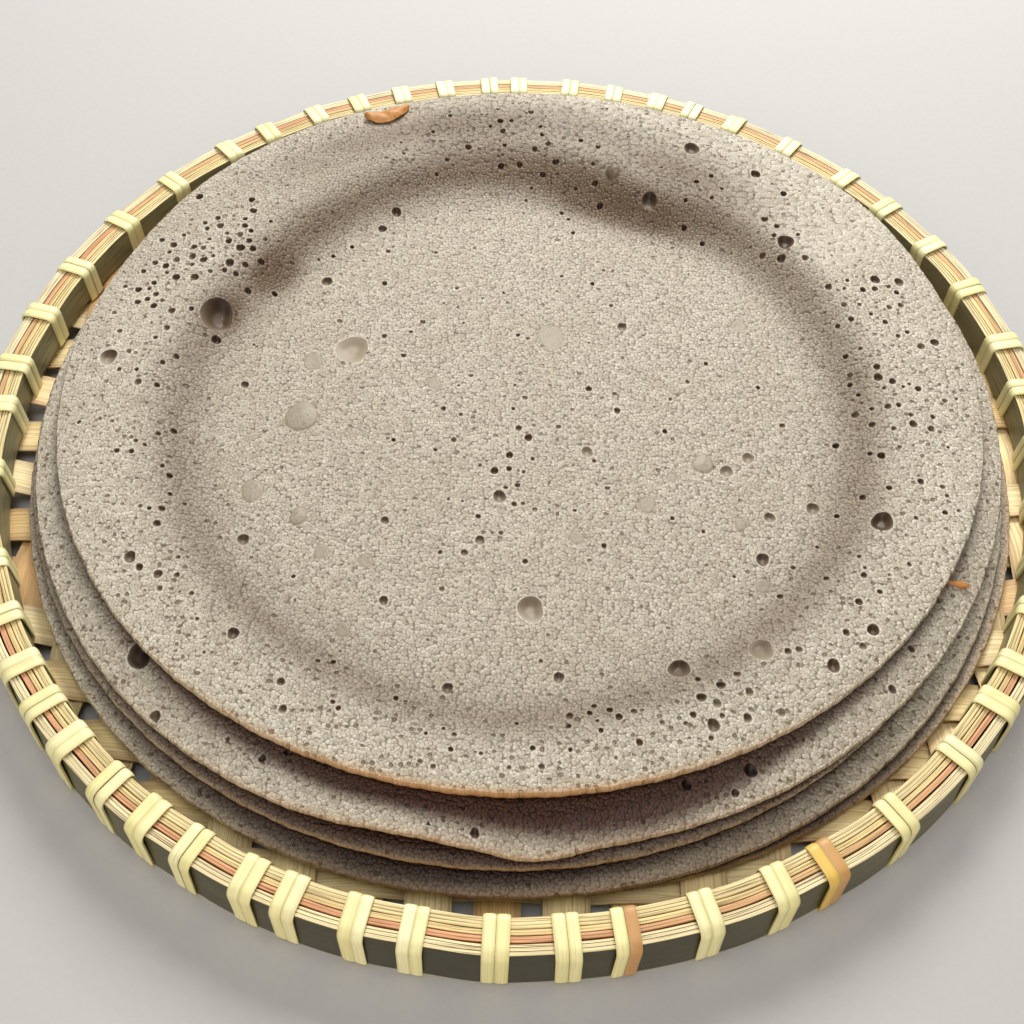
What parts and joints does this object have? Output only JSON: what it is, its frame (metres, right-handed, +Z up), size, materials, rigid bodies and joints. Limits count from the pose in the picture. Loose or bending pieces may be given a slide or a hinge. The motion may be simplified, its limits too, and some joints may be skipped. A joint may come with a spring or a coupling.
{
  "type": "injera flatbread stack in its woven tray",
  "caption": "Stack of round injera flatbreads with a sunken middle and a porous, eyed face, lying in the round woven bamboo tray that it is served in.",
  "frame": {"origin": "middle of the tray on the surface that it stands on", "axes": "+Z up out of the dish, +X to the right of somebody at the tray's front, -Y towards the front"},
  "size_m": [0.3859, 0.386, 0.0285],
  "materials": {
    "bread": "soft porous grey-beige crumb, matt and slightly moist",
    "bamboo": "split bamboo, pale tan with fine grain",
    "bamboo_skin": "bamboo with its skin on, dull olive with a soft sheen",
    "salmon_split": "dyed or heartwood bamboo split, salmon to orange-brown",
    "lashing": "thin flat strip, pale cream-yellow with a satin face"
  },
  "bodies": {
    "root": {"outer_hoop": "bamboo_skin", "inner_hoop": "bamboo", "inner_split": "bamboo", "outer_split": "salmon_split", "lashing": "lashing", "weft_01": "bamboo", "weft_02": "bamboo", "weft_03": "bamboo", "weft_04": "bamboo", "weft_05": "bamboo", "weft_06": "bamboo", "weft_07": "bamboo", "weft_08": "bamboo", "weft_09": "bamboo", "weft_10": "bamboo", "weft_11": "bamboo", "weft_12": "bamboo", "weft_13": "bamboo", "weft_14": "bamboo", "weft_15": "bamboo", "weft_16": "bamboo", "weft_17": "bamboo", "weft_18": "bamboo", "warp_01": "bamboo", "warp_02": "bamboo", "warp_03": "bamboo", "warp_04": "bamboo", "warp_05": "bamboo", "warp_06": "bamboo", "warp_07": "bamboo", "warp_08": "bamboo", "warp_09": "bamboo", "warp_10": "bamboo", "warp_11": "bamboo", "warp_12": "bamboo", "warp_13": "bamboo", "warp_14": "bamboo", "warp_15": "bamboo", "warp_16": "bamboo", "warp_17": "bamboo", "warp_18": "bamboo", "injera_1": "bread", "injera_2": "bread", "injera_3": "bread", "injera_4": "bread", "injera_5": "bread"}
  },
  "joints": []
}
